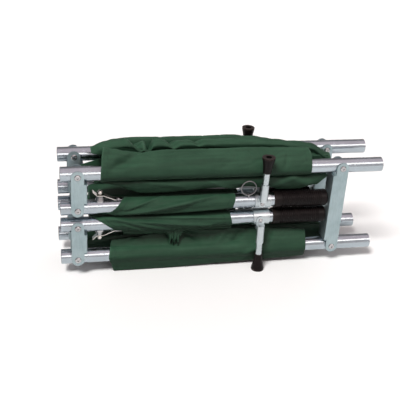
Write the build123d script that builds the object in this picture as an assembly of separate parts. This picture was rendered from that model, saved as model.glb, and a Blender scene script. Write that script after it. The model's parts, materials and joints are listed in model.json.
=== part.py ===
from build123d import *
import math
import os

# Four-fold stretcher in its folded state, standing on its lower canvas and two feet.
# +X runs along the poles towards the handles' end, -Y is the front pole's side, +Z is up.
# Each pole is a chain of four tubes: head_end, head_mid, foot_mid and foot_end. The two mid
# tubes lie outside, above and below, and the two handle tubes lie between them.

# ---- driving dimensions, mm
TUBE_R = 12.5
TUBE_WALL = 1.5
MID_LENGTH = 550.0          # head_mid and foot_mid tubes
HANDLE_LENGTH = 457.0       # handle tube with its grip
SHORT_LINK = 60.0           # pivot to pivot, end tube to mid tube
LONG_LINK = 152.0           # pivot to pivot, mid tube to mid tube
END_CLEAR = 0.2             # the tube ends' corners pass this far from each other in a hinge
POLE_Y = 40.0               # pole axis to the middle plane, folded
FOOT_DROP = 91.0            # handle tube's axis to the foot's face
OPEN_HALF_WIDTH = 240.0     # pole axis to the middle plane, opened

# ---- places that follow
LEFT = -MID_LENGTH / 2
FOOT_END_Z = FOOT_DROP
FOOT_MID_Z = FOOT_END_Z - SHORT_LINK
HEAD_MID_Z = FOOT_MID_Z + LONG_LINK
HEAD_END_Z = HEAD_MID_Z - SHORT_LINK
MIDDLE_Z = (HEAD_MID_Z + FOOT_MID_Z) / 2
SHORT_PIVOT_X = LEFT + math.sqrt((SHORT_LINK / 2 - END_CLEAR) ** 2 - TUBE_R ** 2)
LONG_PIVOT_X = -LEFT - math.sqrt((LONG_LINK / 2 - END_CLEAR) ** 2 - TUBE_R ** 2)

# ---- hinge links: a channel of two cheeks and a web
CHEEK_GAP = 0.5
SHEET = 2.5
CHEEK_R = 10.5
WEB_CLEAR = 0.5
WEB_IN = TUBE_R + WEB_CLEAR
WEB_OUT = WEB_IN + SHEET
CHEEK_IN = TUBE_R + CHEEK_GAP
CHEEK_OUT = CHEEK_IN + SHEET
RIVET_R = 3.0
RIVET_PLAY = 0.08
RIVET_HEAD_R = 5.4
RIVET_HEAD_H = 2.2
DIMPLE_R = 2.0
DIMPLE_H = 1.3

# ---- grip
GRIP_R = 14.5
GRIP_LENGTH = 96.0
GRIP_END_WALL = 2.5
GRIP_COLLAR = 12.0
GROOVES = 20
GROOVE_DEPTH = 0.9

# ---- leg socket, leg and foot
SLEEVE_R = 14.5
SLEEVE_X = LEFT + 326.5
SLEEVE_LENGTH = 28.0
LEG_X = SLEEVE_X + 11.0
LEG_ROOT_Y = 20.0           # leg's axis outside the pole's axis, at the tube
LEG_FOOT_Y = 25.5           # and at the foot's face
STUB_R = 7.0
STUB_LENGTH = 40.0
LEG_R = 5.6
FOOT_LENGTH = 29.0
FOOT_NECK_R = 6.9
FOOT_FACE_R = 11.0
FOOT_HOLLOW_R = 5.0
FOOT_HOLLOW_H = 4.0
SCREW_R = 2.0
SCREW_HEAD_R = 3.6
SCREW_HEAD_H = 2.2
PLATE_T = 2.0               # flattened top of the stub, on the sleeve

# ---- spreader bars, folded flat between the poles
BAR_T = 4.0
BAR_HALF_W = 8.0
BAR_GAP = 0.3
BAR_Z = 14.0                # lower bar's underside above the handle tube's axis
LUG_T = 3.0
LUG_HALF_W = 8.0
LUG_IN = 23.0               # bar's pivot inside the pole's axis
PIN_R = 3.0
PIN_PLAY = 0.08
PIN_HEAD_R = 5.0
PIN_HEAD_H = 2.0
BAR_LENGTH = OPEN_HALF_WIDTH - LUG_IN
FOLD_REACH = math.sqrt(BAR_LENGTH ** 2 - (POLE_Y - LUG_IN) ** 2)

# ---- hinge latch: a leaf spring that carries a pin
LATCH_X = LEFT + 64.0
LEAF_RIVET_X = LEFT + 94.0
LEAF_END_X = LEFT + 100.0
LEAF_BEND_X = LEFT + 89.0   # the leaf springs from here
LEAF_TIP_X = LEFT + 52.0
LEAF_T = 1.2
LEAF_HALF_W = 5.0
LEAF_RISE = 9.0             # leaf above the tube's top, over the pin
LATCH_PIN_R = 2.4
LATCH_PIN_DEPTH = 6.0
BUSH_R = 8.0
BUSH_TOP_R = 5.6
BUSH_BORE_R = 3.9
BUSH_H = 7.0
BALL_R = 4.6
LEAF_RIVET_R = 2.0
LEAF_RIVET_HEAD_R = 3.4

# ---- strap ring
RING_R = 13.0
RING_WIRE_R = 1.1
RING_X = SLEEVE_X - 12.0
RING_OUT = 6.0              # outside the pole's axis
RING_LIFT = 0.6             # wire above the tube
STAPLE_WIRE_R = 1.0
STAPLE_R = 3.2
RING_REST_Z = math.sqrt(TUBE_R ** 2 - RING_OUT ** 2) + RING_LIFT + RING_WIRE_R

# ---- canvas
CLOTH_IN = 12.6
CLOTH_OUT = 13.6
SEAM_GAP = 0.4              # half cloths stop this far from the middle plane
POCKET_IN = 27.5            # cloth between the poles reaches this far out
ROLL_IN = 29.0              # the rolls of cloth between the outer and inner tubes lie from here
ROLL_OUT = 43.0             # to here
TONGUE_IN = 20.0            # cloth between the links reaches this far out
UNDERLAP = 6.0              # how far the lower cloth's foot stands outside the pole's axis

POLES = {"front": -1, "rear": 1}


def rod_x(radius, x0, x1, y, z):
    return Pos((x0 + x1) / 2, y, z) * Rot(0, 90, 0) * Cylinder(radius, x1 - x0)


def rod_y(radius, y0, y1, x, z):
    return Pos(x, (y0 + y1) / 2, z) * Rot(90, 0, 0) * Cylinder(radius, abs(y1 - y0))


def rod_z(radius, z0, z1, x, y):
    return Pos(x, y, (z0 + z1) / 2) * Cylinder(radius, z1 - z0)


def block(x0, x1, y0, y1, z0, z1):
    return Pos((x0 + x1) / 2, (y0 + y1) / 2, (z0 + z1) / 2) * Box(x1 - x0, y1 - y0, z1 - z0)


def at_pole(shape, side):
    """A front-pole shape, carried to the pole on that side of the middle plane."""
    return shape if side < 0 else mirror(shape, about=Plane.XZ)


def at_foot(shape):
    """A head-end shape, turned over for the foot end of the stretcher."""
    return mirror(shape, about=Plane.XY.offset(MIDDLE_Z))


def save(shape, name):
    solids = shape.solids()
    export_step(Compound(children=list(solids)) if len(solids) > 1 else solids[0], f"parts/{name}.step")


# ---- tubes, with their cross holes
def hollow_tube(x0, x1, z):
    return rod_x(TUBE_R, x0, x1, -POLE_Y, z) - rod_x(TUBE_R - TUBE_WALL, x0, x1, -POLE_Y, z)


def cross_hole(x, z, radius):
    return rod_y(radius, -POLE_Y - 2 * TUBE_R, -POLE_Y + 2 * TUBE_R, x, z)


def mid_tube():
    tube = hollow_tube(LEFT, -LEFT, HEAD_MID_Z)
    for x in (SHORT_PIVOT_X, LONG_PIVOT_X):
        tube -= cross_hole(x, HEAD_MID_Z, RIVET_R + RIVET_PLAY)
    return tube


def handle_tube():
    tube = hollow_tube(LEFT, LEFT + HANDLE_LENGTH - GRIP_END_WALL, HEAD_END_Z)
    tube -= cross_hole(SHORT_PIVOT_X, HEAD_END_Z, RIVET_R + RIVET_PLAY)
    tube -= cross_hole(LEG_X, HEAD_END_Z, SCREW_R)
    tube -= rod_z(BUSH_BORE_R, HEAD_END_Z, HEAD_END_Z + 2 * TUBE_R, LATCH_X, -POLE_Y)
    tube -= rod_z(LEAF_RIVET_R, HEAD_END_Z, HEAD_END_Z + 2 * TUBE_R, LEAF_RIVET_X, -POLE_Y)
    return tube


# ---- hinge links and their rivets
def link(length, web_side):
    """A link hung from its upper pivot at the origin; the web is on the side of the tubes' bodies."""
    cheek = Circle(CHEEK_R) + Pos(0, -length) * Circle(CHEEK_R)
    cheek += Pos(0, -length / 2) * Rectangle(2 * CHEEK_R, length)
    web_length = length - 2 * WEB_IN
    cheek += Pos(web_side * WEB_OUT / 2, -length / 2) * Rectangle(WEB_OUT, web_length)
    body = Pos(0, CHEEK_OUT, 0) * extrude(Plane.XZ * cheek, amount=2 * CHEEK_OUT)
    body -= block(-2 * WEB_OUT, 2 * WEB_OUT, -CHEEK_IN, CHEEK_IN, -2 * length, length)
    web_x = sorted((web_side * WEB_IN, web_side * WEB_OUT))
    body += block(*web_x, -CHEEK_OUT, CHEEK_OUT, -length + WEB_IN, -WEB_IN)
    edge_x = web_side * WEB_OUT
    bends = [
        e for e in body.edges().filter_by(Axis.Z)
        if abs(e.center().X - edge_x) < 0.1 and abs(abs(e.center().Y) - CHEEK_OUT) < 0.1
    ]
    body = fillet(bends, SHEET - 0.3)
    for z in (0, -length):
        body -= rod_y(RIVET_R, -2 * CHEEK_OUT, 2 * CHEEK_OUT, 0, z)
    return body


def link_rivet():
    """A cross rivet with a domed, dimpled head outside each cheek."""
    shank = rod_y(RIVET_R, -CHEEK_OUT, CHEEK_OUT, 0, 0)
    head_profile = Pos(RIVET_HEAD_R / 2, RIVET_HEAD_H / 2) * Rectangle(RIVET_HEAD_R, RIVET_HEAD_H)
    outer = head_profile.vertices().sort_by(Axis.X)[-2:].sort_by(Axis.Y)[-1]
    head_profile = fillet(outer, RIVET_HEAD_H - 0.3)
    head = revolve(Plane.XZ * head_profile, Axis.Z)
    head -= Pos(0, 0, RIVET_HEAD_H) * Cone(DIMPLE_R - 0.8, DIMPLE_R, 2 * DIMPLE_H)
    front = Pos(0, -CHEEK_OUT, 0) * Rot(90, 0, 0) * head
    return shank + front + mirror(front, about=Plane.XZ)


def link_rivets(length):
    rivet = link_rivet()
    return Compound(children=[*rivet.solids(), *(Pos(0, 0, -length) * rivet).solids()])


# ---- handle grip
def grip():
    x0 = LEFT + HANDLE_LENGTH - GRIP_LENGTH
    x1 = LEFT + HANDLE_LENGTH
    points = [(x0, 0), (x0, GRIP_R - 0.8), (x0 + 1.2, GRIP_R), (x0 + GRIP_COLLAR, GRIP_R)]
    pitch = (GRIP_LENGTH - 2 * GRIP_COLLAR) / GROOVES
    for i in range(GROOVES):
        start = x0 + GRIP_COLLAR + i * pitch
        points += [
            (start + 0.30 * pitch, GRIP_R - GROOVE_DEPTH),
            (start + 0.55 * pitch, GRIP_R - GROOVE_DEPTH),
            (start + 0.85 * pitch, GRIP_R - 0.1),
            (start + pitch, GRIP_R - 0.1 if i < GROOVES - 1 else GRIP_R),
        ]
    points += [(x1 - 2.5, GRIP_R), (x1, GRIP_R - 2.5), (x1, 0)]
    profile = Plane.XZ * make_face(Polyline(*points, close=True))
    body = Pos(0, -POLE_Y, HEAD_END_Z) * revolve(profile, Axis.X)
    return body - rod_x(TUBE_R, x0, x1 - GRIP_END_WALL, -POLE_Y, HEAD_END_Z)


# ---- leg, built along its own splayed axis
LEG_TILT = math.degrees(math.atan2(LEG_FOOT_Y - LEG_ROOT_Y, FOOT_DROP))


def on_leg_axis(shape):
    """A shape built upwards along Z from the origin, carried to the splayed leg of the front pole."""
    return Pos(LEG_X, -POLE_Y - LEG_ROOT_Y, HEAD_END_Z) * Rot(LEG_TILT, 0, 0) * shape


def trim_to_foot_face(shape):
    top = HEAD_END_Z + FOOT_DROP
    return shape - block(LEG_X - 50, LEG_X + 50, -POLE_Y - 90, -POLE_Y + 90, top, top + 50)


def spreader_lug(bar_z):
    """An ear that reaches in from the sleeve, under the end of a spreader bar."""
    top = HEAD_END_Z + bar_z - BAR_GAP
    y = -POLE_Y + LUG_IN
    ear = rod_z(LUG_HALF_W, top - LUG_T, top, LEG_X, y)
    ear += block(LEG_X - LUG_HALF_W, LEG_X + LUG_HALF_W, -POLE_Y + 6.0, y, top - LUG_T, top)
    ear += block(LEG_X - LUG_HALF_W, LEG_X + LUG_HALF_W, -POLE_Y + 6.0, -POLE_Y + 9.0, HEAD_END_Z + 8.0, top)
    ear -= rod_x(TUBE_R + 0.3, LEG_X - 20, LEG_X + 20, -POLE_Y, HEAD_END_Z)
    return ear - rod_z(PIN_R, top - 2 * LUG_T, top + 1, LEG_X, y)


def leg_socket(bar_z):
    """The sleeve round the handle tube, with the leg's stub and the spreader bar's ear welded on."""
    sleeve = rod_x(SLEEVE_R, SLEEVE_X, SLEEVE_X + SLEEVE_LENGTH, -POLE_Y, HEAD_END_Z)
    stub = on_leg_axis(Pos(0, 0, STUB_LENGTH / 2) * Cylinder(STUB_R, STUB_LENGTH))
    plate_y = -POLE_Y - SLEEVE_R
    plate = rod_y(STUB_R, plate_y - PLATE_T, plate_y + 6, LEG_X, HEAD_END_Z)
    plate += block(LEG_X - STUB_R, LEG_X + STUB_R, plate_y - PLATE_T, plate_y + 6, HEAD_END_Z, HEAD_END_Z + 16)
    keep = block(LEG_X - 30, LEG_X + 30, -POLE_Y - 60, -POLE_Y + 30, HEAD_END_Z + 7, HEAD_END_Z + 90)
    body = sleeve + plate + (stub & keep) + spreader_lug(bar_z)
    body -= rod_x(TUBE_R, SLEEVE_X - 1, SLEEVE_X + SLEEVE_LENGTH + 1, -POLE_Y, HEAD_END_Z)
    body -= on_leg_axis(Pos(0, 0, 55) * Cylinder(LEG_R, 70))
    return body - cross_hole(LEG_X, HEAD_END_Z, SCREW_R)


def leg():
    length = FOOT_DROP - 6.0
    tube = Pos(0, 0, (20.0 + length) / 2) * Cylinder(LEG_R, length - 20.0)
    tube -= Pos(0, 0, 60) * Cylinder(LEG_R - 1.2, 100)
    return on_leg_axis(tube)


def leg_tip():
    """A flared ferrule with a hollow in its face."""
    bottom = FOOT_DROP - FOOT_LENGTH
    inner_end = FOOT_DROP - 6.0
    profile = Polyline(
        (0, bottom), (FOOT_NECK_R, bottom), (FOOT_NECK_R + 1.4, FOOT_DROP - 16),
        (FOOT_FACE_R, FOOT_DROP - 3), (FOOT_FACE_R, FOOT_DROP + 3), (0, FOOT_DROP + 3), close=True,
    )
    body = revolve(Plane.XZ * make_face(profile), Axis.Z)
    body -= Pos(0, 0, inner_end / 2) * Cylinder(LEG_R, inner_end)
    body = trim_to_foot_face(on_leg_axis(body))
    hollow_z = HEAD_END_Z + FOOT_DROP
    y = -POLE_Y - LEG_FOOT_Y
    return body - rod_z(FOOT_HOLLOW_R, hollow_z - FOOT_HOLLOW_H, hollow_z + 1, LEG_X, y)


# ---- small fixed hardware of a handle tube
def socket_screw():
    head_y = -POLE_Y - SLEEVE_R - PLATE_T
    screw = rod_y(SCREW_R, head_y, -POLE_Y + SLEEVE_R, LEG_X, HEAD_END_Z)
    head = rod_y(SCREW_HEAD_R, head_y - SCREW_HEAD_H, head_y, LEG_X, HEAD_END_Z)
    head = fillet(head.edges().filter_by(GeomType.CIRCLE).sort_by(Axis.Y)[0], SCREW_HEAD_H - 0.4)
    tail = rod_y(SCREW_HEAD_R, -POLE_Y + SLEEVE_R, -POLE_Y + SLEEVE_R + 1.2, LEG_X, HEAD_END_Z)
    return screw + head + tail


def bar_pin(bar_z):
    """The pin that a spreader bar swings on, riveted under its ear."""
    y = -POLE_Y + LUG_IN
    ear_top = HEAD_END_Z + bar_z - BAR_GAP
    bar_top = HEAD_END_Z + bar_z + BAR_T
    pin = rod_z(PIN_R, ear_top - LUG_T, bar_top + BAR_GAP, LEG_X, y)
    pin += rod_z(PIN_HEAD_R, bar_top + BAR_GAP, bar_top + BAR_GAP + PIN_HEAD_H, LEG_X, y)
    return pin + rod_z(PIN_HEAD_R, ear_top - LUG_T - 1.2, ear_top - LUG_T, LEG_X, y)


def latch_bush():
    """A collar that guides the latch pin, brazed on the tube."""
    top = HEAD_END_Z + TUBE_R + BUSH_H
    bush = Pos(LATCH_X, -POLE_Y, top - BUSH_H / 2) * Cone(BUSH_R, BUSH_TOP_R, BUSH_H)
    bush += rod_z(BUSH_R, HEAD_END_Z + TUBE_R - 4, top - BUSH_H, LATCH_X, -POLE_Y)
    bush -= rod_x(TUBE_R, LATCH_X - 20, LATCH_X + 20, -POLE_Y, HEAD_END_Z)
    return bush - rod_z(BUSH_BORE_R, HEAD_END_Z, top + 1, LATCH_X, -POLE_Y)


def leaf_root():
    """The root of the leaf spring, and the rivet that holds it down on the tube."""
    top = HEAD_END_Z + TUBE_R + LEAF_T
    root = block(LEAF_BEND_X, LEAF_END_X, -POLE_Y - LEAF_HALF_W, -POLE_Y + LEAF_HALF_W, top - LEAF_T, top)
    rivet = rod_z(LEAF_RIVET_R, HEAD_END_Z + TUBE_R - 3, top, LEAF_RIVET_X, -POLE_Y)
    head = rod_z(LEAF_RIVET_HEAD_R, top, top + 1.6, LEAF_RIVET_X, -POLE_Y)
    return root + rivet + fillet(head.edges().filter_by(GeomType.CIRCLE).sort_by(Axis.Z)[-1], 1.2)


def ring_staple():
    """A wire loop on the tube that holds the strap ring."""
    inside_top = HEAD_END_Z + RING_REST_Z + RING_WIRE_R + 0.2
    loop = Rot(0, 90, 0) * Torus(STAPLE_R, STAPLE_WIRE_R)
    loop = Pos(RING_X, -POLE_Y - RING_OUT, inside_top - STAPLE_R + STAPLE_WIRE_R) * loop
    return loop - rod_x(TUBE_R, RING_X - 10, RING_X + 10, -POLE_Y, HEAD_END_Z)


# ---- moving hardware
def latch():
    """The free part of the leaf spring with its pull tab, pin and ball head."""
    root = HEAD_END_Z + TUBE_R
    over_pin = root + LEAF_RISE
    path = [
        (LEAF_BEND_X, root), (LEAF_BEND_X - 1.0, root), (LATCH_X + 6.0, over_pin - LEAF_T),
        (LATCH_X - 4.5, over_pin - LEAF_T), (LEAF_TIP_X, over_pin + 6.0),
    ]
    top = [(x, z + LEAF_T) for x, z in path]
    strip = extrude(Plane.XZ * make_face(Polyline(*path, *reversed(top), close=True)), amount=2 * LEAF_HALF_W)
    strip = Pos(0, -POLE_Y + LEAF_HALF_W, 0) * strip
    pin = rod_z(LATCH_PIN_R, root - LATCH_PIN_DEPTH, over_pin + 3, LATCH_X, -POLE_Y)
    ball = Pos(LATCH_X, -POLE_Y, over_pin + 4.0) * Sphere(BALL_R)
    ball -= block(LATCH_X - 9, LATCH_X + 9, -POLE_Y - 9, -POLE_Y + 9, root, over_pin)
    return strip + pin + ball


def strap_ring():
    """A wire ring that stands in its staple, against the roll of cloth behind it."""
    centre = HEAD_END_Z + RING_REST_Z + RING_R
    return Pos(RING_X, -POLE_Y - RING_OUT, centre) * Rot(90, 0, 0) * Torus(RING_R, RING_WIRE_R)


def spreader_bar(bar_z, side):
    """A flat bar from its ear to the knee on the middle plane, with rounded ends."""
    z0 = HEAD_END_Z + bar_z
    y = side * (POLE_Y - LUG_IN)
    knee_x = LEG_X - FOLD_REACH
    turn = math.degrees(math.atan2(-y, -FOLD_REACH))
    flat = SlotCenterToCenter(BAR_LENGTH, 2 * BAR_HALF_W)
    middle = Pos((LEG_X + knee_x) / 2, y / 2, z0)
    bar = middle * Rot(0, 0, turn) * extrude(flat, amount=BAR_T)
    return bar - rod_z(PIN_R + PIN_PLAY, z0 - 1, z0 + BAR_T + 1, LEG_X, y)


def knee_rivet(bar_z):
    """Closed on the front bar; the rear bar turns on its plain upper part."""
    z0 = HEAD_END_Z + bar_z
    knee_x = LEG_X - FOLD_REACH
    rivet = rod_z(PIN_R, z0, z0 + BAR_T, knee_x, 0)
    return rivet + rod_z(PIN_HEAD_R, z0 - 1.6, z0, knee_x, 0)


def knee_cap(bar_z):
    """The rear bar's half of the knee rivet."""
    z0 = HEAD_END_Z + bar_z
    knee_x = LEG_X - FOLD_REACH
    rivet = rod_z(PIN_R, z0, z0 + BAR_T, knee_x, 0)
    return rivet + rod_z(PIN_HEAD_R, z0 + BAR_T, z0 + BAR_T + 1.6, knee_x, 0)


# ---- canvas: a sleeve on the tube and half of the cloth gathered between the poles
def cloth_sleeve(x0, x1, z):
    return rod_x(CLOTH_OUT, x0, x1, -POLE_Y, z)


def gathered(outline, outer_y=POCKET_IN, inner_y=SEAM_GAP):
    """Cloth packed between the poles: an outline in X and Z, carried outwards from one Y to another."""
    face = Plane.XZ * make_face(Polyline(*outline, close=True))
    return Pos(0, -inner_y, 0) * extrude(face, amount=outer_y - inner_y)


def head_mid_canvas():
    z = HEAD_MID_Z
    sleeve = cloth_sleeve(LEFT + 60, LEFT + 420, z)
    middle = gathered([
        (LEFT + 50, z - 16), (LEFT + 62, z + 14), (LEFT + 84, z + 30), (LEFT + 120, z + 36),
        (LEFT + 340, z + 36), (LEFT + 385, z + 29), (LEFT + 420, z + 18), (LEFT + 458, z),
        (LEFT + 446, z - 26), (LEFT + 300, z - 32), (LEFT + 85, z - 32),
    ])
    shoulder = [(-52, z), (-34, z + 27), (-20, z + 30), (-20, z)]
    face = Plane.YZ * make_face(Polyline(*shoulder, close=True))
    shoulder = Pos(LEFT + 66, 0, 0) * extrude(face, amount=346)
    tongue = gathered([
        (LEFT + 22, z - 12), (LEFT + 26, z + 8), (LEFT + 62, z + 14), (LEFT + 62, z - 16),
    ], TONGUE_IN)
    roll = gathered([
        (LEFT + 66, z - 15), (LEFT + 434, z - 15), (LEFT + 440, z - 26), (LEFT + 430, z - 39),
        (LEFT + 114, z - 39), (LEFT + 80, z - 23),
    ], ROLL_OUT, ROLL_IN)
    join = block(LEFT + 100, LEFT + 434, -ROLL_IN - 1, -POCKET_IN + 1, z - 28, z - 16)
    tail = gathered([
        (LEFT + 420, z + 16), (LEFT + 470, z + 7), (LEFT + 470, z - 6), (LEFT + 440, z - 14),
    ], TONGUE_IN)
    body = sleeve + middle + shoulder + tongue + roll + join + tail
    return body - rod_x(CLOTH_IN, LEFT, -LEFT, -POLE_Y, z)


def foot_mid_canvas():
    z = FOOT_MID_Z
    sleeve = cloth_sleeve(LEFT + 85, LEFT + 428, z)
    middle = gathered([
        (LEFT + 60, z + 10), (LEFT + 90, 3), (LEFT + 110, 0), (LEFT + 170, 0), (LEFT + 430, 9),
        (LEFT + 446, z - 8), (LEFT + 430, z + 26), (LEFT + 80, z + 26),
    ])
    hem = [
        (LEFT + 92, z), (LEFT + 97, 0), (LEFT + 170, 0), (LEFT + 427, 9), (LEFT + 427, z),
    ]
    skirt = gathered(hem, POLE_Y + UNDERLAP)
    tongue = gathered([
        (LEFT + 40, z - 10), (LEFT + 40, z + 20), (LEFT + 82, z + 24), (LEFT + 82, z - 20),
    ], TONGUE_IN)
    roll = gathered([
        (LEFT + 88, z + 12), (LEFT + 427, z + 12), (LEFT + 427, z + 34), (LEFT + 410, z + 38),
        (LEFT + 116, z + 38),
    ], ROLL_OUT, ROLL_IN)
    join = block(LEFT + 100, LEFT + 425, -ROLL_IN - 1, -POCKET_IN + 1, z + 14, z + 24)
    tail = gathered([
        (LEFT + 425, z + 26), (LEFT + 472, z + 22), (LEFT + 472, z - 4), (LEFT + 430, z - 16),
    ], TONGUE_IN)
    body = sleeve + middle + skirt + tongue + roll + join + tail
    return body - rod_x(CLOTH_IN, LEFT, -LEFT, -POLE_Y, z)


def head_end_canvas():
    z = HEAD_END_Z
    sleeve = cloth_sleeve(LEFT + 104, LEFT + 296, z)
    middle = gathered([
        (LEFT + 50, z - 4), (LEFT + 66, z - 12), (LEFT + 300, z - 12), (LEFT + 310, z),
        (LEFT + 296, z + 11.5), (LEFT + 66, z + 11.5),
    ])
    corner = cloth_sleeve(LEFT + 88, LEFT + 106, z)
    corner -= block(LEFT + 80, LEFT + 110, -POLE_Y - 20, -POLE_Y + 20, z + 6, z + 20)
    return sleeve + corner + middle - rod_x(CLOTH_IN, LEFT, -LEFT, -POLE_Y, z)


def foot_end_canvas():
    z = FOOT_END_Z
    sleeve = cloth_sleeve(LEFT + 104, LEFT + 290, z)
    middle = gathered([
        (LEFT + 56, z + 4), (LEFT + 70, z - 11.5), (LEFT + 292, z - 11.5), (LEFT + 304, z),
        (LEFT + 292, z + 12), (LEFT + 70, z + 12),
    ])
    corner = cloth_sleeve(LEFT + 78, LEFT + 106, z)
    corner -= block(LEFT + 70, LEFT + 110, -POLE_Y - 20, -POLE_Y + 20, z - 20, z - 6)
    return sleeve + corner + middle - rod_x(CLOTH_IN, LEFT, -LEFT, -POLE_Y, z)


def main():
    os.makedirs("parts", exist_ok=True)
    lower_bar = BAR_Z
    upper_bar = BAR_Z + BAR_T + BAR_GAP
    bar_heights = {"front": lower_bar, "rear": upper_bar}
    tube_mid, tube_end, rubber_grip = mid_tube(), handle_tube(), grip()
    leg_tube, tip, leaf_latch = leg(), leg_tip(), latch()
    ring, screw, bush, root = strap_ring(), socket_screw(), latch_bush(), leaf_root()
    at_short = Pos(SHORT_PIVOT_X, -POLE_Y, HEAD_MID_Z)
    at_long = Pos(LONG_PIVOT_X, -POLE_Y, HEAD_MID_Z)
    short_link, short_rivets = at_short * link(SHORT_LINK, 1), at_short * link_rivets(SHORT_LINK)
    long_link, long_rivets = at_long * link(LONG_LINK, -1), at_long * link_rivets(LONG_LINK)
    cloths = {
        "head_mid": head_mid_canvas(), "foot_mid": foot_mid_canvas(),
        "head_end": head_end_canvas(), "foot_end": foot_end_canvas(),
    }
    staple = ring_staple()

    for pole, side in POLES.items():
        bar_z = bar_heights[pole]
        socket = leg_socket(bar_z)
        fixings = [*screw.solids(), *bar_pin(bar_z).solids(), *bush.solids(), *root.solids()]
        for end in ("head", "foot"):
            place = (lambda s: s) if end == "head" else at_foot

            def put(shape, name):
                save(place(at_pole(shape, side)), name)

            put(tube_mid, f"{end}_mid_tube_{pole}")
            put(tube_end, f"{end}_end_tube_{pole}")
            put(rubber_grip, f"{end}_grip_{pole}")
            put(socket, f"{end}_leg_socket_{pole}")
            put(leg_tube, f"{end}_leg_{pole}")
            put(tip, f"{end}_leg_tip_{pole}")
            put(leaf_latch, f"{end}_latch_{pole}")
            put(short_link, f"{end}_link_{pole}")
            put(short_rivets, f"{end}_link_rivets_{pole}")
            own = fixings + ([*staple.solids()] if end == "head" else [])
            put(Compound(children=own), f"{end}_fixings_{pole}")
            bar = spreader_bar(bar_z, side)
            knee = knee_rivet(bar_z) if pole == "front" else knee_cap(bar_z)
            knee_hole = rod_z(PIN_R, HEAD_END_Z, HEAD_MID_Z, LEG_X - FOLD_REACH, 0)
            bar_and_knee = Compound(children=[*(bar - knee_hole).solids(), *knee.solids()])
            save(place(bar_and_knee), f"{end}_spreader_{pole}")
        save(at_pole(long_link, side), f"centre_link_{pole}")
        save(at_pole(long_rivets, side), f"centre_link_rivets_{pole}")
        save(at_pole(ring, side), f"strap_ring_{pole}")
        for name, cloth in cloths.items():
            save(at_pole(cloth, side), f"{name}_canvas_{pole}")


main()
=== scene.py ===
import json
import math

import bpy
import numpy as np
from mathutils import Matrix, Vector, noise


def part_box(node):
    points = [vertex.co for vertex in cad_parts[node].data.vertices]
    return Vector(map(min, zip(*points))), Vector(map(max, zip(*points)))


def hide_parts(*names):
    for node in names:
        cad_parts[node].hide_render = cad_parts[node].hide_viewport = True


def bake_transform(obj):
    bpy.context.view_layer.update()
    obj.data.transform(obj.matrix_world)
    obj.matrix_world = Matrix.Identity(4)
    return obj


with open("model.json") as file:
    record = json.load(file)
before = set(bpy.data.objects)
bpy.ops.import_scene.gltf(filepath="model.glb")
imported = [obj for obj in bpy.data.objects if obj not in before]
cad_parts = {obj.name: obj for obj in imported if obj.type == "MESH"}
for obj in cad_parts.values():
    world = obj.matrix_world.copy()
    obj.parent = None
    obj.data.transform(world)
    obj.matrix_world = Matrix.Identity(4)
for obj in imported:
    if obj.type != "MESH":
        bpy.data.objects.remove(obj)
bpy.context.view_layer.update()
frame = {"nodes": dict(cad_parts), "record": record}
NODES = frame["nodes"]
MM = 0.001


# ---------------------------------------------------------------- places read from the frame
def centre(node):
    low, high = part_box(node)
    return (low + high) / 2


TUBE_LOW, TUBE_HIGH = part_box("head_mid_tube_front")
LEFT = TUBE_LOW.x
TUBE_R = (TUBE_HIGH.z - TUBE_LOW.z) / 2
POLE_Y = -centre("head_mid_tube_front").y
HEAD_MID_Z = centre("head_mid_tube_front").z
HEAD_END_Z = centre("head_end_tube_front").z
FOOT_END_Z = centre("foot_end_tube_front").z
FOOT_MID_Z = centre("foot_mid_tube_front").z


# Cloth is shaped in millimetres: the poles' distance from the middle plane, the mid tubes' left end, and the
# radius at which cloth lies round a tube.
Y = POLE_Y / MM
L = LEFT / MM
CLOTH_R = TUBE_R / MM + 0.9
CLOTH_SINK = 0.35           # how far cloth may still come into a tube's surface layer
MIDDLE_HALF = 26            # cloth nearer the middle plane than this creases straight up and down
SECTION_STEP = 8.0          # a usual distance between two points of a cross-section
HEM_STITCH = 10.0           # the stitching's distance from the cloth's ends, and half its width
STITCH_HALF = 1.6

# Wrinkles: each kind's length along the tubes, width across the cloth, and height.
LONG_FOLD = (120.0, 15.0, 1.5)
SLANT_FOLD = (38.0, 26.0, 1.1)
SMALL_FOLD = (15.0, 12.0, 0.4)
PINCH = (48.0, 22.0, 1.5)

# Cloth folded between two handle tubes: its layers' heights above the tubes' axes, and the gap between two.
LAYER_HEIGHTS = (8.5, 5.6, 2.7, -0.2, -3.1, -6.0, -8.9)
LAYER_GAP = 2.9

# The hem outside the lower handle tubes: where its tuft and its sag are, along X and across the cloth.
TUFT_X, TUFT_HALF, TUFT_DROP, TUFT_OUT = 191, 12.0, 17.0, 5.0
SAG_X, SAG_HALF, SAG_DROP = 160, 70.0, 3.5
HEM_U, TUFT_BAND, SAG_BAND = 12.0, 9.0, 13.0

FLOOR_HALF = 60.0           # in metres


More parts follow.
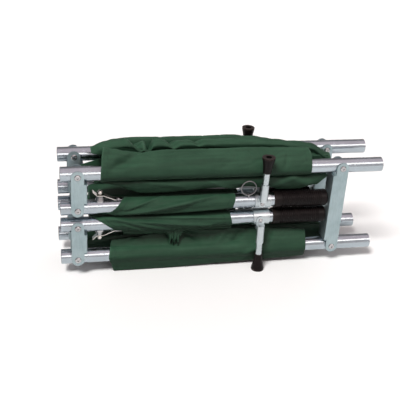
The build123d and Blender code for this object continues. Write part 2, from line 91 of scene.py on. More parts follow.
# ---------------------------------------------------------------- node-tree helpers
class Tree:
    """A small helper that adds and joins shader nodes."""

    def __init__(self, name):
        self.material = bpy.data.materials.new(name)
        self.material.use_nodes = True
        self.tree = self.material.node_tree
        self.tree.nodes.clear()
        self.out = self.add("ShaderNodeOutputMaterial")
        self.shader = self.add("ShaderNodeBsdfPrincipled")
        self.join(self.shader, "BSDF", self.out, "Surface")

    def add(self, kind, inputs=None, **values):
        node = self.tree.nodes.new(kind)
        for key, value in values.items():
            setattr(node, key, value)
        for key, value in (inputs or {}).items():
            node.inputs[key].default_value = value
        return node

    def join(self, a, output, b, socket):
        self.tree.links.new(a.outputs[output], b.inputs[socket])
        return b

    def set(self, **values):
        for key, value in values.items():
            self.shader.inputs[key.replace("_", " ")].default_value = value

    def ramp(self, source, output, stops):
        node = self.add("ShaderNodeValToRGB")
        ramp = node.color_ramp
        while len(ramp.elements) < len(stops):
            ramp.elements.new(0.5)
        for element, (place, colour) in zip(ramp.elements, stops):
            element.position = place
            element.color = (*colour, 1.0)
        self.join(source, output, node, "Fac")
        return node

    def grey_ramp(self, source, output, stops):
        return self.ramp(source, output, [(place, (value,) * 3) for place, value in stops])

    def noise(self, coords, output, scale, detail=3.0, rough=0.5):
        node = self.add("ShaderNodeTexNoise", {"Scale": scale, "Detail": detail, "Roughness": rough})
        self.join(coords, output, node, "Vector")
        return node

    def stretched(self, coords, output, scale):
        node = self.add("ShaderNodeMapping", {"Scale": scale})
        self.join(coords, output, node, "Vector")
        return node

    def mix(self, a, b, factor, blend="MIX", amount=None):
        node = self.add("ShaderNodeMix", data_type="RGBA", blend_type=blend)
        self.tree.links.new(a, node.inputs[6])
        self.tree.links.new(b, node.inputs[7])
        if factor is None:
            node.inputs[0].default_value = amount
        else:
            self.tree.links.new(factor, node.inputs[0])
        return node.outputs[2]

    def math(self, operation, a, b=None):
        node = self.add("ShaderNodeMath", operation=operation)
        for socket, value in zip(node.inputs, (a, b)):
            if value is None:
                continue
            if isinstance(value, (int, float)):
                socket.default_value = value
            else:
                self.tree.links.new(value, socket)
        return node.outputs[0]

    def bump(self, height, strength, distance, normal=None):
        node = self.add("ShaderNodeBump", {"Strength": strength, "Distance": distance})
        self.tree.links.new(height, node.inputs["Height"])
        if normal is not None:
            self.tree.links.new(normal, node.inputs["Normal"])
        return node.outputs["Normal"]

    def finish(self, colour=None, rough=None, normal=None):
        if colour is not None:
            self.tree.links.new(colour, self.shader.inputs["Base Color"])
        if rough is not None:
            self.tree.links.new(rough, self.shader.inputs["Roughness"])
        if normal is not None:
            self.tree.links.new(normal, self.shader.inputs["Normal"])
        return self.material


# ---------------------------------------------------------------- materials
def canvas_material():
    """Closely woven proofed canvas, with uneven dye, a paler colour on convex folds, and stitched hems."""
    t = Tree("canvas_cloth")
    uv = t.add("ShaderNodeUVMap", uv_map="cloth")
    obj = t.add("ShaderNodeTexCoord")
    warp = t.add("ShaderNodeTexWave", {"Scale": 560.0, "Distortion": 0.6, "Detail": 1.0}, bands_direction="X")
    weft = t.add("ShaderNodeTexWave", {"Scale": 560.0, "Distortion": 0.6, "Detail": 1.0}, bands_direction="Y")
    for wave in (warp, weft):
        t.join(uv, "UV", wave, "Vector")
    threads = t.math("MAXIMUM", warp.outputs["Fac"], weft.outputs["Fac"])
    patchy = t.noise(obj, "Object", 22.0, 4.0, 0.6)
    streaks = t.noise(t.stretched(uv, "UV", (9.0, 160.0, 1.0)), "Vector", 1.0, 3.0)
    dye = t.ramp(patchy, "Fac", [(0.30, (0.0185, 0.0570, 0.0320)), (0.62, (0.0285, 0.0765, 0.0440)),
                                 (0.80, (0.0370, 0.0910, 0.0545))])
    tone = t.ramp(streaks, "Fac", [(0.35, (0.84, 0.84, 0.84)), (0.65, (1.08, 1.08, 1.08))])
    colour = t.mix(dye.outputs["Color"], tone.outputs["Color"], None, "MULTIPLY", 1.0)
    # A paler colour where the folds are convex (high pointiness).
    pointed = t.add("ShaderNodeNewGeometry")
    convex_folds = t.grey_ramp(pointed, "Pointiness", [(0.52, 0.0), (0.60, 1.0)])
    pale = t.add("ShaderNodeRGB")
    pale.outputs[0].default_value = (0.085, 0.175, 0.115, 1.0)
    convex_fold_amount = t.math("MULTIPLY", convex_folds.outputs["Color"], 0.35)
    colour = t.mix(colour, pale.outputs[0], convex_fold_amount)
    stitch = t.add("ShaderNodeAttribute", attribute_name="stitch")
    dash = t.add("ShaderNodeTexWave", {"Scale": 52.0, "Distortion": 0.0}, bands_direction="DIAGONAL")
    t.join(uv, "UV", dash, "Vector")
    dashes = t.grey_ramp(dash, "Fac", [(0.30, 0.0), (0.36, 1.0)])
    sewn = t.math("MULTIPLY", stitch.outputs["Fac"], dashes.outputs["Color"])
    thread = t.add("ShaderNodeRGB")
    thread.outputs[0].default_value = (0.020, 0.055, 0.033, 1.0)
    colour = t.mix(colour, thread.outputs[0], sewn)
    rough = t.grey_ramp(patchy, "Fac", [(0.3, 0.52), (0.7, 0.66)])
    crumple = t.noise(obj, "Object", 130.0, 3.0, 0.55)
    normal = t.bump(crumple.outputs["Fac"], 0.22, 0.0012)
    normal = t.bump(threads, 0.30, 0.00018, normal)
    normal = t.bump(sewn, 0.6, 0.0005, normal)
    t.set(Sheen_Weight=0.03, Sheen_Roughness=0.4, Sheen_Tint=(0.62, 0.85, 0.70, 1.0), Specular_IOR_Level=0.22)
    return t.finish(colour, rough.outputs["Color"], normal)


def metal_material(name, base, dark, low_rough, high_rough, grain,
                   grain_bump=0.05, scuffs=0.35, metallic=1.0):
    """Bare or plated metal with drawing lines along grain, light scuffs and a slightly uneven tone."""
    t = Tree(name)
    obj = t.add("ShaderNodeTexCoord")
    lines = t.noise(t.stretched(obj, "Object", grain), "Vector", 1.0, 4.0, 0.6)
    clouds = t.noise(obj, "Object", 34.0, 4.0, 0.6)
    tone = t.ramp(clouds, "Fac", [(0.30, dark), (0.62, base)])
    shade = t.grey_ramp(lines, "Fac", [(0.35, 0.90), (0.60, 1.0)])
    colour = t.mix(tone.outputs["Color"], shade.outputs["Color"], None, "MULTIPLY", 1.0)
    scratch_scale = tuple(g * 0.35 + 60.0 for g in grain)
    scratch = t.noise(t.stretched(obj, "Object", scratch_scale), "Vector", 1.0, 6.0, 0.75)
    marks = t.grey_ramp(scratch, "Fac", [(0.58, 0.0), (0.72, 1.0)])
    base_rough = t.grey_ramp(clouds, "Fac", [(0.3, low_rough), (0.7, high_rough)])
    wear = t.math("MULTIPLY", marks.outputs["Color"], scuffs * 0.35)
    rough = t.math("ADD", base_rough.outputs["Color"], wear)
    normal = t.bump(lines.outputs["Fac"], grain_bump, 0.0002)
    t.set(Metallic=metallic)
    return t.finish(colour, rough, normal)


def rubber_material():
    """Moulded black rubber with an uneven dusty tone, and a painted brown sheen where it stands proud."""
    t = Tree("moulded_rubber")
    obj = t.add("ShaderNodeTexCoord")
    fine = t.noise(obj, "Object", 900.0, 2.0)
    dust = t.noise(obj, "Object", 60.0, 5.0, 0.65)
    tone = t.ramp(dust, "Fac", [(0.35, (0.0055, 0.0042, 0.0043)), (0.75, (0.0120, 0.0086, 0.0084))])
    # Painted sheen: convex ridges get a lighter brown colour, standing in for the gloss the light gives them.
    pointed = t.add("ShaderNodeNewGeometry")
    edge = t.grey_ramp(pointed, "Pointiness", [(0.55, 0.0), (0.68, 1.0)])
    ridge_sheen = t.add("ShaderNodeRGB")
    ridge_sheen.outputs[0].default_value = (0.075, 0.052, 0.047, 1.0)
    amount = t.math("MULTIPLY", edge.outputs["Color"], 0.8)
    colour = t.mix(tone.outputs["Color"], ridge_sheen.outputs[0], amount)
    rough = t.grey_ramp(dust, "Fac", [(0.3, 0.30), (0.7, 0.44)])
    normal = t.bump(fine.outputs["Fac"], 0.12, 0.0002)
    t.set(Specular_IOR_Level=0.14)
    return t.finish(colour, rough.outputs["Color"], normal)


def floor_material():
    t = Tree("studio_floor")
    t.set(Base_Color=(0.93, 0.93, 0.93, 1.0), Roughness=0.85)
    return t.material


CANVAS = canvas_material()
ALUMINIUM = metal_material("drawn_aluminium", (0.45, 0.515, 0.56), (0.39, 0.44, 0.475), 0.18, 0.28,
                           (6.0, 900.0, 900.0), 0.02)
LEG_METAL = metal_material("leg_aluminium", (0.56, 0.62, 0.645), (0.46, 0.52, 0.54), 0.24, 0.36,
                           (700.0, 700.0, 12.0), 0.06)
LINK_METAL = metal_material("zinc_plate", (0.42, 0.525, 0.55), (0.33, 0.43, 0.455), 0.36, 0.48,
                            (500.0, 60.0, 90.0), 0.04, 0.45, 0.85)
BRIGHT_STEEL = metal_material("bright_zinc", (0.50, 0.50, 0.51), (0.33, 0.33, 0.34), 0.14, 0.26,
                              (220.0, 220.0, 220.0), 0.05)
SPRING_STEEL = metal_material("spring_steel", (0.74, 0.72, 0.68), (0.55, 0.53, 0.50), 0.18, 0.30,
                              (40.0, 600.0, 600.0), 0.05)
BAR_STEEL = metal_material("bar_steel", (0.58, 0.63, 0.64), (0.42, 0.46, 0.47), 0.35, 0.50,
                           (30.0, 500.0, 500.0), 0.06)
RING_WIRE = metal_material("ring_wire", (0.26, 0.26, 0.265), (0.17, 0.17, 0.175), 0.22, 0.34,
                           (220.0, 220.0, 220.0), 0.05)
RUBBER = rubber_material()
BY_SLOT = {
    "pole_tube": ALUMINIUM, "leg_metal": LEG_METAL, "link_plate": LINK_METAL, "fasteners": BRIGHT_STEEL,
    "spring_steel": SPRING_STEEL, "spreader_steel": BAR_STEEL, "black_rubber": RUBBER, "canvas": CANVAS,
}


def dress_cad_nodes():
    """Gives every kept CAD node its material, and softened edges to the link plates, legs and spreader bars."""
    slot_of = {s["node"]: s["material_slot"] for s in frame["record"]["subparts"]}
    for name, node in NODES.items():
        node.data.materials.clear()
        node.data.materials.append(RING_WIRE if name.startswith("strap_ring") else BY_SLOT[slot_of[name]])
        if slot_of[name] in ("link_plate", "leg_metal", "spreader_steel"):
            bevel = node.modifiers.new("soft_edges", "BEVEL")
            bevel.width = 0.35 * MM
            bevel.segments = 2
            bevel.limit_method = "ANGLE"
            bevel.angle_limit = math.radians(50)
            bevel.harden_normals = False


# ---------------------------------------------------------------- cloth sheets
def spline(points, per_span):
    """A centripetal Catmull-Rom line through points, with per_span steps from each point to the next."""
    p = np.asarray(points, float)
    p = np.vstack([2 * p[0] - p[1], p, 2 * p[-1] - p[-2]])
    out = []
    for i in range(1, len(p) - 2):
        p0, p1, p2, p3 = p[i - 1:i + 3]
        t0 = 0.0
        t1 = t0 + max(np.linalg.norm(p1 - p0), 1e-9) ** 0.5
        t2 = t1 + max(np.linalg.norm(p2 - p1), 1e-9) ** 0.5
        t3 = t2 + max(np.linalg.norm(p3 - p2), 1e-9) ** 0.5
        t = (t1 + (t2 - t1) * np.arange(per_span) / per_span)[:, None]
        a1 = (t1 - t) / (t1 - t0) * p0 + (t - t0) / (t1 - t0) * p1
        a2 = (t2 - t) / (t2 - t1) * p1 + (t - t1) / (t2 - t1) * p2
        a3 = (t3 - t) / (t3 - t2) * p2 + (t - t2) / (t3 - t2) * p3
        b1 = (t2 - t) / (t2 - t0) * a1 + (t - t0) / (t2 - t0) * a2
        b2 = (t3 - t) / (t3 - t1) * a2 + (t - t1) / (t3 - t1) * a3
        out.append((t2 - t) / (t2 - t1) * b1 + (t - t1) / (t2 - t1) * b2)
    return np.vstack(out + [p[-2:-1]])


def along(stations, places):
    """Values for each place along the cloth, eased between the stations' values."""
    keys = sorted(stations)
    values = [np.asarray(stations[k], float) for k in keys]
    out = []
    for s in places:
        j = int(np.clip(np.searchsorted(keys, s) - 1, 0, len(keys) - 2))
        f = np.clip((s - keys[j]) / (keys[j + 1] - keys[j]), 0, 1)
        f = f * f * (3 - 2 * f)
        out.append(values[j] * (1 - f) + values[j + 1] * f)
    return np.array(out)


def wave_noise(x, y, z, seed):
    return noise.noise(Vector((x + 13.7 * seed, y - 5.1 * seed, z + 2.3 * seed)))


def ease(t):
    t = np.clip(t, 0, 1)
    return t * t * (3 - 2 * t)


def crease_depth(x, u, crease):
    """How far a crease draws each point in; below zero it is a ridge. It runs from (x0, u0) to (x1, u1), with x
    from the mid tubes' left end and u across the cloth from its front hem."""
    x0, u0, x1, u1, depth, width = crease
    along_x, along_u = x1 - x0, u1 - u0
    t = np.clip(((x - x0) * along_x + (u - u0) * along_u) / (along_x ** 2 + along_u ** 2), 0, 1)
    apart = np.hypot(x - x0 - t * along_x, u - u0 - t * along_u)
    swell = 0.35 + 0.65 * np.sin(math.pi * np.clip(t, 0.02, 0.98)) ** 0.5
    return depth * swell * np.exp(-((apart / width) ** 2))


def keep_off_tubes(grid):
    """Pushes cloth that has come into a tube back out to the tube's surface."""
    for axis_z in (HEAD_MID_Z / MM, HEAD_END_Z / MM, FOOT_END_Z / MM, FOOT_MID_Z / MM):
        for axis_y in (-Y, Y):
            away = grid[:, :, 1:] - np.array([axis_y, axis_z])
            apart = np.maximum(np.linalg.norm(away, axis=2), 1e-6)
            push = np.maximum(CLOTH_R - CLOTH_SINK - apart, 0)
            grid[:, :, 1:] += away / apart[:, :, None] * push[:, :, None]


def wrinkle_height(x, u, seed):
    """How far the small folds raise a point of cloth that is free to crumple."""
    length, width, height = LONG_FOLD
    long_fold = wave_noise(x / length, u / width, 0.0, seed) * height
    length, width, height = SLANT_FOLD
    slant = wave_noise((x + 0.9 * u) / length, (u - 0.2 * x) / width, 4.0, seed) * height
    length, width, height = SMALL_FOLD
    small = wave_noise(x / length, u / width, 8.0, seed) * height
    length, width, depth = PINCH
    near_line = abs(wave_noise((x - 0.8 * u) / length, (u + 0.25 * x) / width, 12.0, seed))
    return long_fold + slant + small - depth * max(0.0, 1 - 6 * near_line) ** 2


def build_sheet(name, stations, left_edge, right_edge, free, creases=(), per_span=6, rows=150, seed=1,
                wrinkle=1.0, thickness=0.7, reshape=None):
    """One sheet of cloth. stations gives its cross-section, a list of (y, z), at shares of its length. The
    edges say where each point of the section starts and ends along X, and free how much it may crumple."""
    places = np.linspace(0, 1, rows)
    section = along(stations, places)

    def smooth(values):
        even = np.arange(len(values)) * SECTION_STEP
        return spline(np.column_stack([values, even]), per_span)[:, 0]

    starts, ends, freedom = smooth(left_edge), smooth(right_edge), smooth(free)
    grid = np.zeros((rows, len(starts), 3))
    for i, s in enumerate(places):
        grid[i, :, 0] = starts + (ends - starts) * s
        grid[i, :, 1:] = spline(section[i], per_span)
    width_at = np.concatenate([[0], np.cumsum(np.linalg.norm(np.diff(grid[rows // 2], axis=0), axis=1))])
    if reshape:
        reshape(grid, width_at)
    normal = np.cross(np.gradient(grid, axis=0), np.gradient(grid, axis=1))
    normal /= np.maximum(np.linalg.norm(normal, axis=2, keepdims=True), 1e-9)
    normal[np.abs(grid[:, :, 1]) < MIDDLE_HALF] = (0, 0, 1)
    shift = np.zeros(grid.shape[:2])
    for i in range(rows):
        for j in range(grid.shape[1]):
            shift[i, j] = wrinkle_height(grid[i, j, 0], width_at[j], seed) * wrinkle * freedom[j]
    for crease in creases:
        shift -= crease_depth(grid[:, :, 0] - L, width_at[None, :], crease)
    grid += normal * shift[:, :, None]
    keep_off_tubes(grid)
    return mesh_from_grid(name, grid, width_at, thickness)


def mesh_from_grid(name, grid, width_at, thickness):
    rows, columns = grid.shape[:2]
    verts = grid.reshape(-1, 3) * MM
    faces = []
    for i in range(rows - 1):
        for j in range(columns - 1):
            a = i * columns + j
            faces.append((a, a + columns, a + columns + 1, a + 1))
    mesh = bpy.data.meshes.new(name)
    mesh.from_pydata(verts.tolist(), [], faces)
    uv = mesh.uv_layers.new(name="cloth")
    coords = np.zeros((rows, columns, 2))
    coords[:, :, 0] = grid[:, :, 0] * MM
    coords[:, :, 1] = width_at[None, :] * MM
    flat = coords.reshape(-1, 2)
    loop_verts = np.zeros(len(mesh.loops), int)
    mesh.loops.foreach_get("vertex_index", loop_verts)
    uv.data.foreach_set("uv", flat[loop_verts].ravel())
    stitch = mesh.attributes.new("stitch", "FLOAT", "POINT")
    from_edge = np.minimum(np.arange(rows), rows - 1 - np.arange(rows)) * np.ptp(grid[:, 0, 0]) / (rows - 1)
    line = np.clip(1 - np.abs(from_edge - HEM_STITCH) / STITCH_HALF, 0, 1)
    stitch.data.foreach_set("value", np.repeat(line, columns).astype(np.float32))
    mesh.materials.append(CANVAS)
    mesh.polygons.foreach_set("use_smooth", [True] * len(mesh.polygons))
    obj = bpy.data.objects.new(name, mesh)
    bpy.context.scene.collection.objects.link(obj)
    solid = obj.modifiers.new("thickness", "SOLIDIFY")
    solid.thickness = thickness * MM
    solid.offset = 0.0
    return obj


def arc(cy, cz, radius, start, end, count):
    """Points round a tube: angles in degrees, 0 towards +Y, 90 upwards."""
    angles = np.radians(np.linspace(start, end, count))
    return [(cy + radius * math.cos(a), cz + radius * math.sin(a)) for a in angles]


def columns(front, middle, rear):
    """Splits rows of (y, z, left, right, free) into a section and its edges, with the rear rows mirrored."""
    rows = list(front) + list(middle) + [(-r[0], *r[1:]) for r in reversed(rear)]
    table = np.array(rows, float)
    return [tuple(p) for p in table[:, :2]], L + table[:, 2], L + table[:, 3], table[:, 4]


def head_mid_sheet():
    """The upper outside canvas: a face standing up from each tube, a crown between, and a roll under each."""
    z = HEAD_MID_Z / MM

    def half(peak, crown, lip, roll, low, edge, low_wall, high_wall):
        around = [(y, zz, 64, 420, 0.12) for y, zz in arc(-Y, z, CLOTH_R, -40, -190, 7)]
        return around + [
            (-50.6, z + 0.36 * peak, 65, 420, 0.5), (-44.0, z + 0.66 * peak, 66, 420, 0.8),
            (-35.0, z + 0.90 * peak, 68, 419, 0.9), (-27.5, z + peak, edge, 417, 0.8),
            (-22.5, z + peak - 2, edge, 414, 0.5), (-20.2, z + peak - 10, edge, 412, 0.3),
            (-19.5, z + 6, 70, 412, 0.2), (-21.5, z - 8, 72, 420, 0.2), (-29, z - 14.4, 68, 432, 0.2),
            (-37.0, z - 15.2, 66, 452, 0.2), (-42.2 - roll, z - 18, 67, 454, 0.3),
            (-43.2 - roll, z - 0.5 * low - 8, 72, 444, 0.35), (-39, z - low + 1.5, 78, 436, 0.3),
            (-30, z - low, 78, 436, 0.3), (-25.5, z - 0.8 * low, 74, 440, 0.2), (-19, z - 29, 56, 440, 0.2),
            (-12.5, z - 26, low_wall, 444, 0.3), (-10.5, z - 10, low_wall + 4, 452, 0.3),
            (-12, z + 8, high_wall, 462, 0.3), (lip + 3.5, z + crown - 15, high_wall, 468, 0.6),
            (lip, z + crown - 5, 54, 468, 0.8),
            (0.5 * lip, z + crown - 0.8, 52, 468, 1.0),
        ]

    def station(peak, crown, lip, roll, low, rear_peak):
        front = half(peak, crown, lip, roll, low, 70, 58, 100)
        rear = half(rear_peak, crown - 2, -14, roll, low, 58, 32, 92)
        return columns(front, [(2, z + crown, 52, 468, 1.0)], rear)[0]

    stations = {
        0.00: station(39, 29, -13, -3, 21, 18), 0.05: station(36, 37, -13, -2, 24, 26),
        0.10: station(32, 40, -13, 0, 32, 30), 0.15: station(30, 39.5, -12, 1.4, 37, 32),
        0.20: station(31, 38, -12, 2.4, 38, 33), 0.32: station(32, 38, -12, 2.6, 38, 33),
        0.52: station(32, 38, -12, 2.2, 36, 33), 0.66: station(32, 36.5, -11, 1.6, 35, 33),
        0.76: station(32, 34, -11, 1.4, 38, 30), 0.83: station(31, 31, -12, 2.4, 43, 26),
        0.90: station(31, 27, -13, 2.4, 43, 20), 1.00: station(30, 7, -13, 0, 36, 6),
    }
    _, left, right, free = columns(half(31, 37, -14, 1.6, 38, 70, 58, 100), [(2, 0, 52, 468, 1.0)],
                                   half(31, 37, -14, 1.6, 38, 58, 26, 84))
    creases = [
        (84, 46, 142, 84, 4.5, 6.0), (150, 74, 330, 68, 1.4, 5.0), (372, 36, 378, 62, 2.0, 3.0),
        (88, 44, 122, 60, 4.5, 6.0), (92, 66, 126, 68, -3.2, 6.0), (262, 40, 300, 66, 2.0, 7.0),
        (146, 280, 149, 350, 19.0, 4.4), (120, 330, 136, 290, 12.0, 8.0), (104, 340, 112, 290, -3.0, 7.0),
        (178, 336, 190, 296, 9.0, 7.0), (220, 340, 232, 300, 6.0, 7.0), (160, 330, 166, 300, -3.0, 7.0),
        (186, 266, 236, 286, 2.8, 7.0), (250, 290, 372, 280, 3.0, 7.0), (128, 268, 140, 276, -3.5, 4.0),
        (96, 176, 230, 166, 2.6, 4.0), (250, 156, 300, 178, 3.0, 4.0), (330, 172, 400, 150, 3.4, 4.5),
        (380, 150, 436, 168, 3.0, 5.0), (120, 150, 200, 160, 2.2, 4.0),
    ]
    return build_sheet("head_mid_canvas", stations, left, right, free, creases, seed=3)


def foot_mid_sheet():
    """The lower outside canvas: it hangs from the tubes to the ground and swells up over them."""
    z = FOOT_MID_Z / MM

    def half(drop, peak, swell, lean):
        low = 0.7 + drop
        hem = [(-38.0, z - 12.8, 86, 427, 0.1), (-42.6, z - 14.8, 88, 427, 0.1)]
        return hem + [
            (-44.0, low + 7, 86, 427, 0.1), (-43.6, low + 0.6, 87, 427, 0.05), (-45.2, low, 88, 427, 0.05),
            (-46.6, low + 1.5, 87, 427, 0.05), (-49.6, z - 14, 83, 427, 0.3), (-53.6, z - 3, 79, 427, 0.35),
            (-52.8, z + 4, 79, 427, 0.4), (-49.5 - swell + 7 * lean, z + 14, 82, 427, 0.7),
            (-44.0 - swell + 9 * lean, z + 24, 86, 427, 0.8),
            (-36.5 + 5.5 * lean, z + peak, 92, 427, 0.7), (-30.5 + lean, z + peak - 2, 92, 426, 0.5),
            (-28.2, z + peak - 12, 88, 426, 0.3),
            (-27.2, z + 14, 84, 426, 0.2), (-26.0, z, 84, 434, 0.2), (-23.5, low + 5, 90, 438, 0.2),
            (-20, low + 0.8, 100, 440, 0.1), (-16.5, low + 5, 90, 456, 0.2), (-15.4, z, 42, 472, 0.3),
            (-17.5, z + peak - 12, 40, 472, 0.6), (-13, z + peak - 6, 40, 472, 0.8),
            (-8.5, z + peak - 12, 42, 472, 0.6),
            (-7.4, z, 44, 472, 0.3), (-5.0, low + 5, 76, 456, 0.2), (-2.4, z, 42, 472, 0.3),
        ]

    def station(drop, peak, swell, lean):
        side = half(drop, peak, swell, lean)
        return columns(side, [(0, z + peak - 8, 44, 472, 0.8)], side)[0]

    stations = {
        0.00: station(0, 18, -3, 1), 0.08: station(0, 26, -1, 1), 0.25: station(0, 34, 0.5, 1),
        0.60: station(4, 34, 0, 0.8), 0.78: station(6.2, 34, 0, 0.2), 0.90: station(7.5, 32, 0, 0),
        1.00: station(9, 27, -1, 0),
    }
    _, left, right, free = columns(half(0, 34, 0, 0.5), [(0, 0, 44, 472, 0.8)], half(0, 34, 0, 0.5))
    creases = [
        (120, 66, 240, 52, 1.8, 6.0), (150, 92, 250, 78, 3.0, 5.0), (286, 52, 318, 92, 4.0, 6.0),
        (318, 42, 352, 66, -2.6, 6.0), (200, 96, 236, 72, 3.6, 5.0), (344, 46, 366, 88, 4.2, 6.0),
        (262, 60, 292, 96, -2.2, 6.0), (96, 60, 130, 92, 2.6, 6.0),
    ]
    return build_sheet("foot_mid_canvas", stations, left, right, free, creases, seed=8, wrinkle=0.9)


def end_sheet(name, z, up, lefts, sleeve_right, gap_right, flap, creases, seed):
    """A handle section's canvas: round each handle tube, and folded to and fro in layers between them. up is 1
    where the side of the tube towards its neighbour is its top, and -1 where it is its bottom. flap adds a hem
    that hangs outside the tube, with a tuft in it."""
    start_angle = -100 if flap else -60
    arc_points = arc(-Y, z, CLOTH_R, start_angle, -258, 9)
    angles = -np.linspace(start_angle, -258, 9)
    left_edge = np.interp(angles, (90, 135, 180, 225, 258), lefts)
    sleeve_left, gap_left = lefts[0], lefts[-1]
    half = []
    for (y, zz), left, angle in zip(arc_points, left_edge, angles):
        right = sleeve_right + (gap_right - sleeve_right) * ease((angle - 110) / 140)
        half.append((y, z + up * (zz - z), left, right, 0.2))
    if flap:
        hem = ((-30, 14.5, 0.3), (-34, 20, 0.6), (-40, 21, 0.8), (-43.6, 17, 0.6))
        half = [(y, z - up * drop, sleeve_left, sleeve_right, free) for y, drop, free in hem] + half
    bed = []
    for k, height in enumerate(LAYER_HEIGHTS):
        side = -1 if k % 2 == 0 else 1
        bed += [(y, z + up * height, 50, 302, 0.06) for y in (side * 20, side * 7, -side * 7, -side * 20)]
        if k < len(LAYER_HEIGHTS) - 1:
            bed.append((-side * 23.2, z + up * (height - LAYER_GAP / 2), 50, 302, 0.06))
    rear = [(-y, zz, a, b, f) for y, zz, a, b, f in reversed(half)]
    start = (-29, z + up * 10.8, gap_left - 8, gap_right + 4, 0.3)
    finish = [(26.4, z - up * 9.0, 60, 296, 0.3), (26.6, z + up * 4, 60, 296, 0.2),
              (29, z + up * 10.8, gap_left - 8, 296, 0.2)]
    table = np.array(half + [start] + bed + finish + rear, float)
    section = [tuple(p) for p in table[:, :2]]

    def tuft(grid, width_at):
        if not flap:
            return
        for i in range(grid.shape[0]):
            x = grid[i, 0, 0] - L
            near = math.exp(-(((x - TUFT_X) / TUFT_HALF) ** 4))
            crumple = 1 + 0.35 * math.sin(x * 0.9) + 0.25 * math.sin(x * 2.1 + 1.0)
            hang = np.exp(-(((width_at - HEM_U) / TUFT_BAND) ** 2)) * near
            sag_across = np.exp(-(((width_at - HEM_U) / SAG_BAND) ** 2))
            sag = SAG_DROP * sag_across * math.exp(-(((x - SAG_X) / SAG_HALF) ** 2))
            grid[i, :, 2] -= up * (TUFT_DROP * hang * crumple + sag)
            grid[i, :, 1] -= TUFT_OUT * hang * (1 + 0.4 * math.sin(x * 1.3 + 2.0))
    return build_sheet(name, {0.0: section, 0.5: section, 1.0: section}, L + table[:, 2], L + table[:, 3],
                       table[:, 4], creases, seed=seed, per_span=5, reshape=tuft)


def add_canvases():
    head_mid = head_mid_sheet()
    foot_mid = foot_mid_sheet()
    head_creases = [(84, 44, 262, 12, 3.6, 3.4), (84, 48, 214, 26, 3.0, 3.0), (90, 50, 285, 36, 3.4, 3.2),
                    (104, 32, 170, 8, 2.6, 2.8), (96, 40, 236, 20, 2.2, 2.6)]
    foot_creases = [(66, 62, 250, 38, -3.6, 3.6), (70, 66, 190, 28, -3.0, 3.2), (84, 66, 280, 54, -3.0, 3.2),
                    (100, 50, 150, 22, -2.2, 2.8)]
    head_end = end_sheet("head_end_canvas", HEAD_END_Z / MM, -1, (104, 96, 88, 78, 70), 292, 286,
                         False, head_creases, 5)
    foot_end = end_sheet("foot_end_canvas", FOOT_END_Z / MM, 1, (104, 92, 78, 63, 54), 290, 285,
                         True, foot_creases, 6)
    # Each sheet hides the CAD canvas parts of its section and takes its placement into its mesh.
    for obj in (head_mid, foot_mid, head_end, foot_end):
        segment = obj.name.removesuffix("_canvas")
        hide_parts(f"{segment}_canvas_front", f"{segment}_canvas_rear")
        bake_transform(obj)


# ---------------------------------------------------------------- studio
def add_floor():
    mesh = bpy.data.meshes.new("studio_floor")
    half = FLOOR_HALF
    corners = [(-half, -half, 0), (half, -half, 0), (half, half, 0), (-half, half, 0)]
    mesh.from_pydata(corners, [], [(0, 1, 2, 3)])
    mesh.materials.append(floor_material())
    floor = bpy.data.objects.new("studio_floor", mesh)
    bpy.context.scene.collection.objects.link(floor)
    floor.visible_diffuse = False


def add_area_light(name, place, target, size, power, colour, roll=0.0):
    """A card of light that shows in the metal but casts no light on the cloth."""
    data = bpy.data.lights.new(name, "AREA")
    data.shape = "RECTANGLE"
    data.size, data.size_y = size
    data.energy = power
    data.color = colour
    light = bpy.data.objects.new(name, data)
    light.location = place
    light.visible_diffuse = False
    light.visible_camera = False
    aim = (Vector(target) - Vector(place)).to_track_quat("-Z", "Y").to_matrix()
    light.rotation_euler = (aim @ Matrix.Rotation(roll, 3, "Z")).to_euler()
    bpy.context.scene.collection.objects.link(light)


def add_soft_sun(name, towards, energy, spread):
    data = bpy.data.lights.new(name, "SUN")
    data.energy = energy
    data.angle = math.radians(spread)
    data.color = (1.0, 0.985, 0.965)
    sun = bpy.data.objects.new(name, data)
    sun.visible_glossy = False
    sun.rotation_euler = Vector(towards).to_track_quat("Z", "Y").to_euler()
    bpy.context.scene.collection.objects.link(sun)


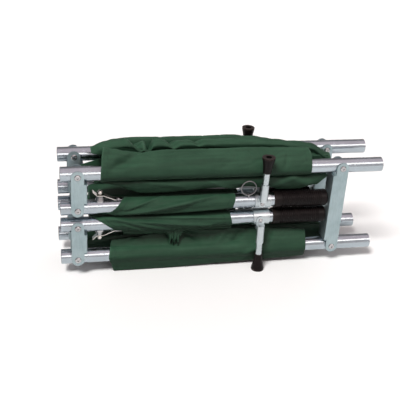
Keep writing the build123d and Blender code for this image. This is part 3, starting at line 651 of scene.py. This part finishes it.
def add_lights():
    world = bpy.data.worlds.new("studio")
    bpy.context.scene.world = world
    world.use_nodes = True
    tree = world.node_tree
    background = tree.nodes["Background"]
    background.inputs["Strength"].default_value = 1.0
    direction = tree.nodes.new("ShaderNodeTexCoord")
    parts = tree.nodes.new("ShaderNodeSeparateXYZ")
    ramp = tree.nodes.new("ShaderNodeValToRGB")
    stops = [(0.0, (0.03, 0.03, 0.03)), (0.46, (0.05, 0.05, 0.05)), (0.52, (0.24, 0.22, 0.22)),
             (0.75, (0.30, 0.27, 0.27)), (1.0, (0.38, 0.345, 0.35))]
    while len(ramp.color_ramp.elements) < len(stops):
        ramp.color_ramp.elements.new(0.5)
    for element, (place, colour) in zip(ramp.color_ramp.elements, stops):
        element.position = place
        element.color = (*colour, 1.0)
    half = tree.nodes.new("ShaderNodeMapRange")
    half.inputs["From Min"].default_value = -1.0
    tree.links.new(direction.outputs["Generated"], parts.inputs[0])
    tree.links.new(parts.outputs["Z"], half.inputs["Value"])
    tree.links.new(half.outputs["Result"], ramp.inputs["Fac"])
    tree.links.new(ramp.outputs["Color"], background.inputs["Color"])
    add_soft_sun("daylight", (-0.38, -0.40, 0.83), 3.1, 18)
    add_soft_sun("back_fill", (0.45, 0.75, 0.45), 0.45, 50)
    add_area_light("softbox", (0.6, -1.35, 1.22), (0.6, 0, 0.15), (2.7, 0.30), 13.0, (1.0, 0.90, 0.85), 0.40)
    add_area_light("ceiling", (0.5, -0.45, 1.95), (0.5, -0.45, 0.1), (5.0, 3.0), 27.0, (1.0, 0.77, 0.80))
    add_area_light("wall", (0.5, -2.6, 0.85), (0.5, 0, 0.5), (6.0, 1.5), 13.0, (1.0, 0.90, 0.88))


def add_camera():
    """From the front left, looking down on the folded stretcher."""
    place = Vector((-0.3293, -1.2146, 0.7366))
    yaw, pitch, roll = -0.2394, -0.4670, -0.0683
    data = bpy.data.cameras.new("camera")
    data.sensor_width = 36.0
    data.lens = 72.3
    camera = bpy.data.objects.new("camera", data)
    turn = Matrix.Rotation(yaw, 4, "Z") @ Matrix.Rotation(pitch, 4, "X") @ Matrix.Rotation(roll, 4, "Y")
    camera.matrix_world = Matrix.Translation(place) @ turn @ Matrix.Rotation(math.pi / 2, 4, "X")
    bpy.context.scene.collection.objects.link(camera)
    bpy.context.scene.camera = camera


bpy.context.scene.view_settings.view_transform = "Standard"
add_camera()
add_floor()
add_lights()
dress_cad_nodes()
add_canvases()
